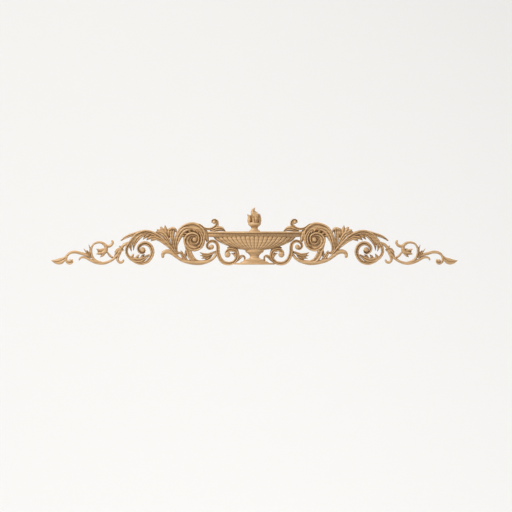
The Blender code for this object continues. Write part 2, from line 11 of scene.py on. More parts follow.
import bmesh
import bpy
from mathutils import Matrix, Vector

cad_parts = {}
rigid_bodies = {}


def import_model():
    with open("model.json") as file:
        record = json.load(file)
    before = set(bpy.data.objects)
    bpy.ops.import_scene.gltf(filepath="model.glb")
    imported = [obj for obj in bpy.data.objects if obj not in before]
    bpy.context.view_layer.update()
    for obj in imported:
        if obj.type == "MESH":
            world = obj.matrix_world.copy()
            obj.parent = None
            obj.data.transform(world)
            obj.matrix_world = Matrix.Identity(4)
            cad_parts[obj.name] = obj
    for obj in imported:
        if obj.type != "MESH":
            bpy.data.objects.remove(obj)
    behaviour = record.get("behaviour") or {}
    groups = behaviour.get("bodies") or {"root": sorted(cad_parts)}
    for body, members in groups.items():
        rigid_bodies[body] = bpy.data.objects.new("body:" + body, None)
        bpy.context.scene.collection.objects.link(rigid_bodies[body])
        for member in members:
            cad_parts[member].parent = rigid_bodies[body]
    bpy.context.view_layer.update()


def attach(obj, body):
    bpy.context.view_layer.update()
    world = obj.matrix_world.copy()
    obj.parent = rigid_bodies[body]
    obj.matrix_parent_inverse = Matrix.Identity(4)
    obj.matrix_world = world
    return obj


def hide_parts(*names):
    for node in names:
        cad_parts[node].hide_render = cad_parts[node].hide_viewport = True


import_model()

# The carving's whole size, how far its base line lies below the origin, and a millimetre in metres
WIDTH = 1200.0
HEIGHT = 172.0
DEPTH = 31.0
BASE_TO_ORIGIN = HEIGHT / 2
MM = 0.001

# The photograph's frame, in its pixels: its width, and the carving's width, centre line and base line
PHOTO_WIDTH = 512
PHOTO_CARVING_WIDTH = 406.6
PHOTO_MIDDLE_X = 254.5
PHOTO_BASE_Y = 265.4
MM_PER_PIXEL = WIDTH / PHOTO_CARVING_WIDTH
CAMERA_DISTANCE = 2.0

# The studio: a floor below the carving that sweeps up into a wall behind it
FLOOR_Z = -0.9
FLOOR_REACH = 9.0
WALL_Y = 4.0
WALL_HEIGHT = 7.0
SWEEP_RADIUS = 1.5
SWEEP_STEPS = 12
FLOOR_COLOUR = (0.79, 0.79, 0.786)
FLOOR_MOTTLE = (0.7, 0.7, 0.7)
FLOOR_MOTTLE_SCALE = (3.0, 3.0, 3.0)
FLOOR_MOTTLE_SHARE = 0.04
FLOOR_ROUGHNESS = 0.9

# The lights, which all point at the origin: (name, place, watts, size, colour)
WHITE = (1.0, 1.0, 1.0)
WARM_WHITE = (1.0, 0.97, 0.93)
LIGHTS = (("key_light", (-2.4, -1.76, 2.88), 200.0, 0.96, WARM_WHITE),
          ("fill_light", (1.9, -2.0, 0.2), 9.0, 1.6, WHITE),
          ("back_light", (0.8, 2.2, 2.4), 36.0, 1.8, WHITE))
SKY_STRENGTH = 0.62

# Oak: its colours
OAK_LIGHT = (0.56, 0.37, 0.19)
OAK_MIDDLE = (0.44, 0.27, 0.125)
OAK_DARK = (0.30, 0.17, 0.075)
OAK_PORE = (0.12, 0.06, 0.025)
OAK_FLECK = (0.66, 0.47, 0.27)
# Painted shade: the dark brown that the oak's colour is multiplied by in its hollows
OAK_PAINTED_SHADE = (0.42, 0.3, 0.2)
OAK_TONES = ((0.26, OAK_DARK), (0.48, OAK_MIDDLE), (0.72, OAK_LIGHT))

# Oak: how fine each pattern is, in repeats a metre along X, the grain, and along Y and Z
WAVER_SCALE = (2.2, 9.0, 9.0)
CLOUD_SCALE = (3.0, 10.0, 10.0)
CLOUD_SHIFT = (4.0, 2.0, 7.0)
STREAK_SCALE = (7.0, 260.0, 260.0)
FIBRE_SCALE = (40.0, 1400.0, 1400.0)
PORE_SCALE = (130.0, 1500.0, 1500.0)
RAY_SCALE = (26.0, 130.0, 190.0)
RAY_SHIFT = (3.0, 0.0, 1.0)
TOOL_MARK_SCALE = (170.0, 170.0, 170.0)

# Oak: the growth bands in each metre of height, how much of a place's depth counts as height, and
# how many bands they waver by
GROWTH_BANDS = 110.0
BAND_SLANT = 0.6
BAND_WAVER = 5.0

# Oak: how much of each pattern shows in the colour
BAND_TONE = 0.16
STREAK_TONE = 0.52
CLOUD_TONE = 0.32
PORE_TINT = 0.5
PORES_IN_LATE_WOOD = 0.15
FLECK_TINT = 0.22
# How strongly the painted shade darkens the hollows
PAINTED_SHADE_TINT = 0.8
WORN_TINT = 0.25

# Oak: the values of a pattern between which it fades in or out, and how far round a place the
# painted shade of the hollows looks for surfaces that shut it in
LATE_WOOD_RANGE = (0.08, 0.46)
PORE_RANGE = (0.15, 0.42)
FLECK_RANGE = (0.1, 0.26)
HOLLOW_SHADE_RANGE = (0.15, 0.85)
WORN_RANGE = (0.52, 0.62)
HOLLOW_SHADE_REACH = 0.012
HOLLOW_SHADE_SAMPLES = 8

# Oak: its sheen, and the depth of its relief
ROUGHNESS_LOW = 0.38
ROUGHNESS_HIGH = 0.5
PORE_ROUGHNESS = 0.25
HOLLOW_ROUGHNESS = 0.12
SPECULAR_LEVEL = 0.45
COAT_WEIGHT = 0.12
COAT_ROUGHNESS = 0.3
FIBRE_RELIEF = 0.3
STREAK_RELIEF = 0.35
TOOL_MARK_RELIEF = 0.6
PORE_RELIEF = -0.8
BUMP_STRENGTH = 0.35
BUMP_DISTANCE = 0.0006

# Carving widths and heights that many of the forms share
FILLET = 6.0
SCROLL_HEIGHT = 16.0
LEAF_HEIGHT = 12.0
TIP_WIDTH = 1.6

# A blunt end wider than this is rounded: rings past the end as (reach, width, height), the reach as
# a share of half the end's width, the others as shares of its own width and height
BLUNT = 1.0
ROUNDED_END = ((0.3, 0.95, 0.99), (0.55, 0.83, 0.95), (0.76, 0.65, 0.88), (0.91, 0.41, 0.79),
               (0.98, 0.15, 0.7))

# How finely a carved form is faceted, and the least distance that two points of a line count as apart
TURN_PER_FACET = math.radians(8)
STEP_PER_FACET = 7.0
SPAN_SAMPLES = 10
SMALLEST_GAP = 0.01
LOBE_STEPS = 3
STEM_POINTS = 10
FILLET_FACETS = 8
SHARP_FROM = math.radians(50)

# How far towards the centre of its bend a form may reach, as a share of the bend radius, and how
# many samples on each side of a place its bend is measured over
TIGHTEST = 0.8
BEND_REACH = 2

# A round eye: levels as shares of its radius and height
BOSS_FACETS = 28
BOSS_PROFILE = ((1.0, 0.5), (0.98, 0.62), (0.93, 0.73), (0.84, 0.83), (0.7, 0.91), (0.5, 0.97),
                (0.25, 0.995), (0.03, 1.0))

# One lobe of a leaf from its root on: shares of its width, before the tip's own, and of its height
LOBE_WIDTHS = (0.4, 0.9, 1.0, 0.75)
LOBE_HEIGHTS = (0.4, 0.85, 1.0, 0.98, 0.8)

# The heights at the edge of a stem and at the foot of a fillet, as shares of the form's height, and
# the power that makes a stem fuller than a half round
STEM_EDGE = 0.42
STEM_ROUNDNESS = 0.8
FILLET_FOOT = 0.7

# The band beside a fillet: (share of its width, share of its height)
BAND_PROFILE = ((0.04, 0.64), (0.14, 0.69), (0.3, 0.76), (0.5, 0.79), (0.7, 0.77), (0.86, 0.7),
                (0.96, 0.59), (1.0, 0.48))

# Forms start behind the plane of the back, each at one of several depths, so that the hidden faces
# of neighbours lie in different planes. A block then cuts them off flat
BACK_START = 2.0
BACK_STEP = 0.37
BACK_DEPTHS = 7
CUTTER_SIZE = (1.2 * WIDTH, 60.0, 1.5 * HEIGHT)

# How many facets go round each turned form, how square its plan is (2 is an ellipse), and how far
# forward its left and right edges lie
RIM_SEGMENTS = 64
FOOT_SEGMENTS = 40
CUP_SEGMENTS = 32
FOOT_BOXINESS = 2.6
PLINTH_BOXINESS = 6.0
EDGE_DEPTH = 6.0

# How many samples of a smooth outline lie between one level and the next
BOWL_STRIDE = 2
EASED_STRIDE = 2

# The rim, as levels of (z, half width, depth)
RIM_TOP = 100.4
RIM_BOTTOM = 94.6
RIM_HALF_WIDTH = 140.8
RIM_EASE = 0.8
RIM_PROFILE = ((RIM_BOTTOM, RIM_HALF_WIDTH - 1.5, DEPTH - 4.0), (RIM_BOTTOM + 2.0, RIM_HALF_WIDTH, DEPTH),
               (RIM_TOP - RIM_EASE, RIM_HALF_WIDTH, DEPTH),
               (RIM_TOP, RIM_HALF_WIDTH - RIM_EASE, DEPTH - RIM_EASE))

# The reeded band, as levels of (z, inset from its half width, drop from its depth, share of the
# reeds' relief)
BEAD_BOTTOM = 85.4
BEAD_HALF_WIDTH = 138.5
BEAD_DEPTH = 25.0
REEDS = 64
REED_FACETS = 8
REED_RELIEF = 1.3
BEAD_PROFILE = ((BEAD_BOTTOM - 2.0, 7.0, 5.0, 0.0), (BEAD_BOTTOM, 0.3, 0.3, 0.0),
                (BEAD_BOTTOM + 0.3, 0.0, 0.0, 0.0), (BEAD_BOTTOM + 1.1, 0.0, 0.0, 0.0),
                (BEAD_BOTTOM + 1.5, 0.6, 1.3, 0.0), (BEAD_BOTTOM + 2.0, 0.3, 0.3, 0.8),
                (BEAD_BOTTOM + 2.8, 0.2, 0.1, 1.0), (RIM_BOTTOM - 1.6, 0.2, 0.1, 1.0),
                (RIM_BOTTOM - 0.9, 0.3, 0.3, 0.8), (RIM_BOTTOM - 0.4, 0.6, 1.3, 0.0),
                (RIM_BOTTOM + 0.9, 0.6, 1.3, 0.0))

# The gadrooned body: its outline as (z, half width), how its front recedes and its relief fades
# towards the bottom, and how far the levels of the round heads rise, as shares of their radius
BOWL_OUTLINE = ((82.0, 121.0), (76.0, 115.0), (70.0, 106.5), (64.0, 95.0), (58.0, 81.0), (52.0, 63.0),
                (47.0, 43.0))
BOWL_TOP_DEPTH = 25.5
BOWL_BOTTOM_DEPTH = 20.0
SETBACK_CURVE = 1.5
GADROONS = 18
GADROON_FACETS = 12
GADROON_RELIEF = 3.6
GADROON_FADE = 0.6
HEAD_RISES = (1.0, 0.97, 0.9, 0.78, 0.6, 0.4, 0.2)

# The neck, the foot, the plinth, and the cup with the ring under its lip, as levels of (z, half
# width, depth)
NECK_PROFILE = ((48.5, 47.0, 19.0), (44.5, 28.0, 20.5), (43.5, 27.0, 20.5), (39.0, 26.0, 21.0),
                (36.5, 21.5, 18.5), (31.5, 16.0, 16.5), (26.5, 13.0, 15.5), (22.5, 14.5, 16.0),
                (19.5, 20.0, 17.0), (17.2, 29.0, 18.0))
FOOT_PROFILE = ((18.3, 30.6, 17.1), (17.7, 31.5, 18.0), (12.8, 33.0, 18.5), (11.8, 37.0, 18.0),
                (8.6, 42.0, 19.5), (7.0, 44.0, 20.0))
PLINTH_PROFILE = ((7.6, 58.8, 24.3), (7.4, 59.3, 24.8), (6.9, 59.5, 25.0), (2.9, 59.5, 25.0),
                  (2.4, 59.3, 24.8), (2.2, 58.8, 24.3))
CUP_PROFILE = ((RIM_TOP - 2.0, 18.0, 17.0), (RIM_TOP + 1.2, 16.5, 16.0), (106.0, 11.0, 13.5),
               (109.0, 9.3, 13.0), (113.0, 11.0, 14.0), (117.5, 15.0, 17.0), (119.5, 17.5, 19.0),
               (123.5, 19.2, 19.5), (126.7, 17.0, 18.0))
CUP_RING_PROFILE = ((115.2, 12.6, 15.0), (115.8, 14.4, 16.7), (116.8, 15.2, 17.5), (117.7, 15.0, 17.3),
                    (118.2, 14.0, 16.2))

# The flame: its low backing, its main tongue, then the left, the right and two inner tongues, each
# as (line, widths, heights)
FLAME_TONGUES = (
    (((0, 122), (0, 136), (0, 146), (-1, 152), (-3.5, 158)), (28, 33, 37, 34, 24, 12),
     (10, 11, 11.5, 11.5, 11, 10)),
    (((1, 122), (5, 134), (4, 144), (-2.5, 152.5), (-4.5, 161), (1.4, 170.8)),
     (16, 22, 22, 17, 11, TIP_WIDTH), (14, 17, 18, 17, 14, 9)),
    (((-12, 122), (-15, 130), (-14, 138), (-16, 144), (-21, 150.7)), (8, 12, 13, 9, TIP_WIDTH),
     (13, 15, 16, 14, 10)),
    (((13, 122), (16, 133), (16, 143), (15.5, 152.7)), (9, 9, 7, TIP_WIDTH), (14, 16, 15, 12)),
    (((-2, 122), (-2, 134), (-4, 142), (-11, 147)), (13, 12, 8, TIP_WIDTH), (17, 18.5, 18, 14)),
    (((8, 122), (8, 132), (9.5, 140), (12, 147.5)), (7, 6, 5, TIP_WIDTH), (17, 18.5, 18, 14)))

# The places of a Mix node's factor and colours among its inputs, and of its colour among its outputs
MIX_FACTOR = 0
MIX_FIRST = 6
MIX_SECOND = 7
MIX_RESULT = 2


def smooth_path(points):
    """A smooth line through the given points, with several samples on each span."""
    ends = [tuple(2 * a - b for a, b in zip(points[0], points[1]))]
    ends += [tuple(p) for p in points]
    ends += [tuple(2 * a - b for a, b in zip(points[-1], points[-2]))]
    path = []
    for before, start, end, after in zip(ends, ends[1:], ends[2:], ends[3:]):
        gaps = [max(math.dist(a, b), SMALLEST_GAP) ** 0.5
                for a, b in ((before, start), (start, end), (end, after))]
        for step in range(SPAN_SAMPLES):
            path.append(centripetal_point(before, start, end, after, gaps, step / SPAN_SAMPLES))
    path.append(tuple(points[-1]))
    return path


def centripetal_point(before, start, end, after, gaps, part):
    """The point a given part of the way from start to end, on a centripetal Catmull-Rom span."""
    knots = (0.0, gaps[0], gaps[0] + gaps[1], sum(gaps))
    t = knots[1] + part * gaps[1]

    def mix(a, b, low, high):
        share = (t - low) / (high - low)
        return tuple(p + (q - p) * share for p, q in zip(a, b))

    first = mix(before, start, knots[0], knots[1])
    second = mix(start, end, knots[1], knots[2])
    third = mix(end, after, knots[2], knots[3])
    early = mix(first, second, knots[0], knots[2])
    late = mix(second, third, knots[1], knots[3])
    return mix(early, late, knots[1], knots[2])


def volute(centre, radii, start, turn):
    """Points of a spiral from its radii at each quarter turn. turn is 1 anticlockwise, -1 clockwise."""
    points = []
    for quarter, (radius, following) in enumerate(zip(radii, radii[1:])):
        for half in (0.0, 0.5):
            angle = math.radians(start + turn * 90 * (quarter + half))
            reach = radius + (following - radius) * half
            points.append((centre[0] + reach * math.cos(angle), centre[1] + reach * math.sin(angle)))
    angle = math.radians(start + turn * 90 * (len(radii) - 1))
    points.append((centre[0] + radii[-1] * math.cos(angle), centre[1] + radii[-1] * math.sin(angle)))
    return points


def along(values, share):
    """The value a given share of the way through evenly spaced values, on a smooth curve."""
    place = min(share, 1.0) * (len(values) - 1)
    index = min(int(place), len(values) - 2)
    part = place - index
    start, end = values[index], values[index + 1]
    before = values[index - 1] if index > 0 else 2 * start - end
    after = values[index + 2] if index + 2 < len(values) else 2 * end - start
    bow = 2 * before - 5 * start + 4 * end - after + part * (3 * (start - end) + after - before)
    return max(start + 0.5 * part * (end - before + part * bow), min(values))


def stations(points):
    """Places along a smooth path, closer where it bends: (x, z, across x, across z, share, bend)."""
    path = smooth_path(points)
    lengths = [0.0]
    for before, here in zip(path, path[1:]):
        lengths.append(lengths[-1] + math.dist(before, here))
    headings = [0.0]
    for before, after in zip(path, path[2:]):
        heading = math.atan2(after[1] - before[1], after[0] - before[0])
        turned = (heading - headings[-1] + math.pi) % (2 * math.pi) - math.pi
        headings.append(headings[-1] + turned if len(headings) > 1 else heading)
    headings = [headings[1]] + headings[1:] + [headings[-1]]
    costs = [0.0]
    for index in range(1, len(path)):
        turned = abs(headings[index] - headings[index - 1])
        costs.append(costs[-1] + turned / TURN_PER_FACET
                     + (lengths[index] - lengths[index - 1]) / STEP_PER_FACET)
    count = max(2, round(costs[-1]))
    places = []
    index = 0
    for number in range(count + 1):
        wanted = costs[-1] * number / count
        while index < len(costs) - 2 and costs[index + 1] < wanted:
            index += 1
        part = min(max((wanted - costs[index]) / max(costs[index + 1] - costs[index], 1e-9), 0.0), 1.0)
        low, high = max(index - BEND_REACH, 0), min(index + 1 + BEND_REACH, len(path) - 1)
        bend = (headings[high] - headings[low]) / (lengths[high] - lengths[low])
        heading = headings[index] + (headings[index + 1] - headings[index]) * part
        x, z = (a + (b - a) * part for a, b in zip(path[index], path[index + 1]))
        share = (lengths[index] + (lengths[index + 1] - lengths[index]) * part) / lengths[-1]
        places.append((x, z, -math.sin(heading), math.cos(heading), share, bend))
    return places


def stem_section(width):
    """A round stem: pairs of distance from its left edge and share of its height."""
    section = []
    for step in range(STEM_POINTS + 1):
        angle = math.pi * step / STEM_POINTS
        rise = math.sin(angle) ** STEM_ROUNDNESS
        section.append((width * (0.5 - 0.5 * math.cos(angle)), STEM_EDGE + (1 - STEM_EDGE) * rise))
    return section


def mirrored(width, half):
    """A section whose right half mirrors its left half, given as shares of the width."""
    left = [(place * width, share) for place, share in half]
    return left + [(width - place, share) for place, share in left[-2::-1]]


def tip_section(width):
    """A narrow leaf lobe with one ridge between two shallow hollows."""
    return mirrored(width, ((0.0, 0.4), (0.06, 0.58), (0.16, 0.73), (0.28, 0.82), (0.38, 0.89),
                            (0.45, 0.97), (0.5, 1.0)))


def leaf_section(width):
    """A leaf with rolled edges and a vein sunk along its middle."""
    return mirrored(width, ((0.0, 0.42), (0.04, 0.64), (0.1, 0.8), (0.18, 0.92), (0.27, 0.97), (0.36, 0.95),
                            (0.43, 0.87), (0.475, 0.77), (0.5, 0.71)))


def band_left_section(width):
    """A scroll band: a raised fillet along its left edge and a rounded band beside it."""
    fillet = min(FILLET, 0.5 * width)
    section = []
    for step in range(FILLET_FACETS + 1):
        angle = math.pi * step / FILLET_FACETS
        section.append((fillet * (0.5 - 0.5 * math.cos(angle)),
                        FILLET_FOOT + (1 - FILLET_FOOT) * math.sin(angle)))
    return section + [(fillet + (width - fillet) * place, share) for place, share in BAND_PROFILE]


def band_right_section(width):
    """The same band with the fillet along its right edge."""
    return [(width - place, share) for place, share in reversed(band_left_section(width))]


def channel_section(width):
    """A stem with two raised edges and a hollow between them."""
    return mirrored(width, ((0.0, 0.62), (0.04, 0.82), (0.11, 0.95), (0.19, 1.0), (0.27, 0.96), (0.35, 0.86),
                            (0.43, 0.77), (0.5, 0.74)))


def eased(levels):
    """The levels of a turned form with more between them, on a smooth profile."""
    return smooth_path(levels)[::EASED_STRIDE]


class Carving:
    """Collects the closed forms of the carving, which a Boolean union then makes one."""

    def __init__(self):
        self.forms = []

    def add(self, mesh):
        """Keeps a closed form, with its faces pointing out."""
        bmesh.ops.triangulate(mesh, faces=mesh.faces[:])
        if mesh.calc_volume(signed=True) < 0:
            bmesh.ops.reverse_faces(mesh, faces=mesh.faces[:])
        self.forms.append(mesh)

    def back(self):
        """How far behind the back plane the next form starts, before the flat cut."""
        return BACK_START + BACK_STEP * (len(self.forms) % BACK_DEPTHS)

    def loft(self, rings):
        """A closed form through rings of points, each (x, z, height)."""
        mesh = bmesh.new()
        rows = [[mesh.verts.new((x * MM, -height * MM, (z - BASE_TO_ORIGIN) * MM)) for x, z, height in ring]
                for ring in rings]
        for row, following in zip(rows, rows[1:]):
            for index in range(len(row)):
                after = (index + 1) % len(row)
                mesh.faces.new((row[index], row[after], following[after], following[index]))
        mesh.faces.new(rows[0][::-1])
        mesh.faces.new(rows[-1])
        self.add(mesh)

    def stroke(self, side, points, widths, heights, section, guide=0.5):
        """A carved form along a line.

        guide says where the line runs across the form: 0 its left edge, 0.5 its middle, 1 its right
        edge, as seen travelling along it. side is 1 as described, -1 mirrored.
        """
        back = self.back()
        rings = []
        for x, z, across_x, across_z, share, bend in stations(points):
            width = along(widths, share)
            height = along(heights, share)
            line = [(place, height * part) for place, part in section(width)]
            line = [(0.0, -back)] + line + [(width, -back)]
            ring = []
            for place, level in line:
                offset = guide * width - place
                if offset * bend > TIGHTEST:
                    offset = TIGHTEST / bend
                ring.append((side * (x + across_x * offset), z + across_z * offset, level))
            rings.append(ring)
        first_end = self.rounded_end(rings[0], rings[1], widths[0])
        last_end = self.rounded_end(rings[-1], rings[-2], widths[-1])
        self.loft(first_end[::-1] + rings + last_end)

    def rounded_end(self, ring, neighbour, width):
        """Rings that close a blunt end in a round."""
        if width < BLUNT:
            return []
        middle, inner = [((row[0][0] + row[-1][0]) / 2, (row[0][1] + row[-1][1]) / 2)
                         for row in (ring, neighbour)]
        length = max(math.dist(middle, inner), 1e-6)
        ahead = [(here - there) / length for here, there in zip(middle, inner)]
        rings = []
        for reach, width_share, height_share in ROUNDED_END:
            step = reach * width / 2
            rings.append([(middle[0] + ahead[0] * step + (x - middle[0]) * width_share,
                           middle[1] + ahead[1] * step + (z - middle[1]) * width_share,
                           level * height_share if level > 0 else level) for x, z, level in ring])
        return rings

    def boss(self, side, centre, radius, height, facets=BOSS_FACETS):
        """A round eye, domed on a low wall."""
        back = self.back()
        rings = []
        for share, part in ((1.0, -back / height),) + BOSS_PROFILE:
            level = part * height
            ring = []
            for number in range(facets):
                angle = 2 * math.pi * number / facets
                ring.append((side * (centre[0] + radius * share * math.cos(angle)),
                             centre[1] + radius * share * math.sin(angle), level))
            rings.append(ring)
        self.loft(rings)

    def half_round(self, levels, segments, boxiness=2.0):
        """A form turned about the vertical and flattened: levels are (z, half width, depth)."""
        back = self.back()
        rings = []
        for z, half_width, depth in levels:
            ring = [(half_width, z, -back), (-half_width, z, -back)]
            for number in range(segments + 1):
                angle = math.pi - math.pi * number / segments
                across = math.copysign(abs(math.cos(angle)) ** (2 / boxiness), math.cos(angle))
                forward = abs(math.sin(angle)) ** (2 / boxiness)
                ring.append((half_width * across, z, EDGE_DEPTH + (depth - EDGE_DEPTH) * forward))
            rings.append(ring)
        self.loft(rings)


def lobe(carving, side, root, lean, curl, reach, width, height, tip=TIP_WIDTH):
    """One lobe of a leaf. It leaves its root towards lean and turns by curl on its way, in degrees."""
    line = [root]
    for step in range(LOBE_STEPS):
        angle = math.radians(lean + curl * (step + 0.5) / LOBE_STEPS)
        x, z = line[-1]
        line.append((x + reach / LOBE_STEPS * math.cos(angle), z + reach / LOBE_STEPS * math.sin(angle)))
    widths = [share * width for share in LOBE_WIDTHS] + [tip]
    heights = [share * height for share in LOBE_HEIGHTS]
    carving.stroke(side, line, widths, heights, tip_section)


def big_scroll(carving, side):
    """The large volute beside the bowl, with the leaf that lines it."""
    centre = (-177.6, 76.4)
    line = [(-228, 34), (-236.5, 47)]
    line += volute(centre, (60.5, 51, 33, 35.5, 32.5, 21.5, 15.4, 15, 11.5, 8), 180, -1)
    carving.stroke(side, line, (7, 8, 22, 26, 16, 16, 16, 13, 8.5, 3), (11, 14, 16, 16, 15, 16, 17, 17, 17),
                   band_left_section, guide=0.0)
    carving.boss(side, centre, 32.5, 9.0, 2 * BOSS_FACETS)
    carving.boss(side, (-177.0, 76.5), 7.5, 18.5)
    carving.stroke(side, [(-229, 40), (-230.5, 60), (-224, 84), (-212, 102), (-197, 109), (-178.5, 107)],
                   (4, 10, 18, 20, 16, 2), (9, 13, 15, 16, 16, 14), leaf_section)
    for x, z, lean, curl, reach in ((-221, 84, 35, -55, 19), (-212, 94, 15, -55, 17),
                                    (-199, 103, 0, -60, 15)):
        lobe(carving, side, (x, z), lean, curl, reach, 9, SCROLL_HEIGHT + 0.5)
    carving.stroke(side, [(-171, 107), (-160, 97), (-153, 82), (-155, 66), (-166, 51)], (3, 11, 14, 13, 2),
                   (14, 17, 17.5, 17, 14), leaf_section)
    for x, z, lean, curl, reach in ((-188, 110, -20, -45, 21), (-176, 107, -35, -45, 20),
                                    (-156, 68, -115, -45, 21)):
        lobe(carving, side, (x, z), lean, curl, reach, 9, SCROLL_HEIGHT + 1)


def small_scroll(carving, side):
    """The S scroll under the bowl: a small volute, a stem and a larger volute with a bulb."""
    line = [(-125, 50), (-134, 49), (-140, 57), (-136, 67), (-124, 72), (-112, 66), (-108, 54), (-108, 42),
            (-105, 28), (-98, 15), (-88, 7.6), (-75, 5.8), (-62, 9.3), (-53, 19), (-51, 31), (-55, 41),
            (-66, 46), (-77, 45), (-83, 38)]
    carving.stroke(side, line, (6, 8, 9, 10, 11, 12, 12, 11, 11, 11, 11, 10),
                   (15, 15, 15, 15, 14, 14, 14, 14, 15, 15), channel_section)
    carving.boss(side, (-126.5, 54.5), 7.0, 16.5)
    carving.boss(side, (-79.5, 32.0), 9.0, 16.5)
    carving.stroke(side, [(-57, 12), (-54.5, 24), (-58.5, 32), (-68, 35.5)], (5, 8, 9, 1.6),
                   (12, 13.5, 14, 12), tip_section)
    carving.stroke(side, [(-54, 11), (-47, 20), (-39, 27), (-32.5, 27.5), (-29, 23.5), (-28.8, 19)],
                   (4, 9, 10, 9, 6.5, 5), (10, 12, 13, 14, 13, 12), leaf_section)
    carving.stroke(side, [(-48, 33), (-53, 46), (-66, 54), (-80, 52)], (7, 9, 9, 3), (12, 13, 13, 9),
                   tip_section)


def lower_stem(carving, side):
    """The stem that runs from the S scroll under the large volute to a hooked end."""
    carving.stroke(side, [(-111, 35), (-121, 22), (-134, 13.5), (-152, 9), (-173, 8.2), (-193, 10),
                          (-214, 15.5), (-230, 25.5), (-243, 36), (-255, 41), (-265, 39.5), (-270.5, 33),
                          (-270.5, 26)],
                   (8, 9, 11.5, 15, 13.5, 11, 9.5, 11.5, 13, 9), (12, 13, 13, 13, 13, 13, 12, 11, 10, 9),
                   stem_section)
    carving.stroke(side, [(-162, 9), (-178, 15), (-189.5, 29), (-195, 44), (-204, 62)], (9, 15, 18, 15, 8),
                   (12, 14, 15, 15, 14), channel_section)
    carving.stroke(side, [(-199, 12), (-208, 24), (-217, 36), (-226, 38)], (8, 12, 10, 5), (11, 12, 12, 10),
                   leaf_section)
    for x, z, lean, curl, reach in ((-206, 20, 70, 30, 24), (-212, 27, 95, 25, 18), (-206, 13, 140, 20, 16)):
        lobe(carving, side, (x, z), lean, curl, reach, 8, LEAF_HEIGHT + 0.5)
    carving.stroke(side, [(-110, 43), (-124, 36), (-137, 32), (-150, 33.5), (-161, 38)], (4, 8, 9, 8, 2),
                   (11, 12, 13, 12, 9), leaf_section)
    for x, z, lean, curl, reach in ((-131, 33, 205, -35, 30), (-129, 32, 215, -25, 30),
                                    (-125, 31, 222, -15, 27)):
        lobe(carving, side, (x, z), lean, curl, reach, 8, 11)


def rim_curl(carving, side):
    """The stem that leaves the top of the large volute and curls up at the end of the rim."""
    carving.stroke(side, [(-178, 123), (-162, 119.5), (-150, 111), (-137, 107.5), (-124, 109),
                          (-115, 114.5), (-110, 122), (-110.5, 130), (-117, 135), (-124.5, 132.5),
                          (-125.5, 127)],
                   (6, 7, 7, 7, 8, 10, 11, 8, 6, 3.5), (13, 14, 14, 14, 14, 14, 14, 14, 14, 13),
                   channel_section)
    carving.boss(side, (-119.3, 128.3), 6.0, 15.5)
    carving.stroke(side, [(-128, 102), (-114, 107), (-100, 109), (-85.5, 101)], (6, 13, 14, 2),
                   (14, 17, 16, 11), leaf_section)
    lobe(carving, side, (-112, 107.5), 70, -60, 12, 8, 15)
    carving.stroke(side, [(-147, 108), (-143.5, 92), (-140, 78), (-137, 66)], (8, 14, 12, 5),
                   (12, 14, 14, 13), tip_section)


def arch_scroll(carving, side):
    """The stem that arches outwards into the second volute, with its hanging leaves."""
    carving.stroke(side, [(-225, 30), (-237, 46), (-250, 62), (-266, 79), (-283, 93), (-299, 101),
                          (-314, 105), (-327, 105), (-340, 101), (-352, 94), (-363, 82), (-373, 68),
                          (-381, 54), (-382, 37), (-373, 21), (-356, 8), (-336, 1), (-314, 7), (-300, 23),
                          (-295, 41), (-303, 62), (-318, 71), (-332, 70), (-343, 62), (-348, 50),
                          (-343, 38), (-332, 32.5), (-323, 37), (-321, 45)],
                   (8, 10, 12, 12, 12, 11, 10, 9, 9, 10, 12, 13, 12, 8, 2.5),
                   (11, 13, 14, 15, 15, 15, 14, 14, 14, 15, 15, 16, 16, 16, 16),
                   band_right_section, guide=1.0)
    carving.boss(side, (-330.0, 46.0), 8.0, 17.5)
    carving.stroke(side, [(-243, 46), (-262, 63), (-281, 77), (-300, 82), (-318, 76)], (5, 9, 12, 11, 2),
                   (10, 12, 13, 13, 11), leaf_section)
    for x, z, lean, curl, reach in ((-284, 80, 178, 45, 24), (-294, 86, 180, 50, 28),
                                    (-304, 92, 185, 55, 30)):
        lobe(carving, side, (x, z), lean, curl, reach, 10, LEAF_HEIGHT + 1)
    carving.stroke(side, [(-334, 94), (-352, 82), (-364, 66), (-366, 54), (-363, 42)], (6, 12, 13, 10, 2),
                   (13, 13, 12, 11, 8), leaf_section)
    carving.stroke(side, [(-322, 92), (-338, 85), (-350, 72), (-356, 58), (-357, 45)], (6, 12, 13, 9, 2),
                   (13, 14, 13, 11, 8), leaf_section)
    carving.stroke(side, [(-371, 28), (-356, 17), (-339, 15), (-324, 22), (-312, 31)], (4, 14, 17, 13, 5),
                   (10, 12, 13, 12, 12), leaf_section)
    for x, z, lean, curl, reach in ((-362, 17, 95, -50, 19), (-349, 18, 80, -45, 17),
                                    (-336, 18, 70, -40, 19)):
        lobe(carving, side, (x, z), lean, curl, reach, 8, LEAF_HEIGHT + 1)
    carving.stroke(side, [(-336, 100), (-354, 93), (-369, 88), (-382, 82), (-393.5, 73.5)], (7, 9, 10, 8, 4),
                   (13, 13, 11, 10, 7), leaf_section)


def flower_buds(carving, side):
    """The two buds that rise from the junction between the volutes."""
    carving.stroke(side, [(-241, 46), (-249, 62), (-258, 79), (-269, 93), (-289, 99)], (5, 8, 13, 15, 5),
                   (10, 12, 13, 14, 10), leaf_section)
    for x, z, lean, curl, reach, width, tip in (
            (-266, 90, 138, 10, 24.5, 15, 6), (-264, 88, 113, 8, 27, 15, 6),
            (-258, 84, 103, -6, 35, 13, TIP_WIDTH), (-252, 84, 96, -12, 24, 13, 5)):
        lobe(carving, side, (x, z), lean, curl, reach, width, LEAF_HEIGHT + 0.5, tip)
    carving.stroke(side, [(-239, 48), (-241.5, 66), (-243.5, 84), (-243, 101)], (5, 8, 13, 18),
                   (10, 12, 13, 11), leaf_section)
    carving.stroke(side, [(-254, 101), (-249, 107), (-241, 109.5), (-234, 106.5), (-231.5, 99)],
                   (5, 8, 9, 8, 4), (11, 14, 15, 14, 12), tip_section)


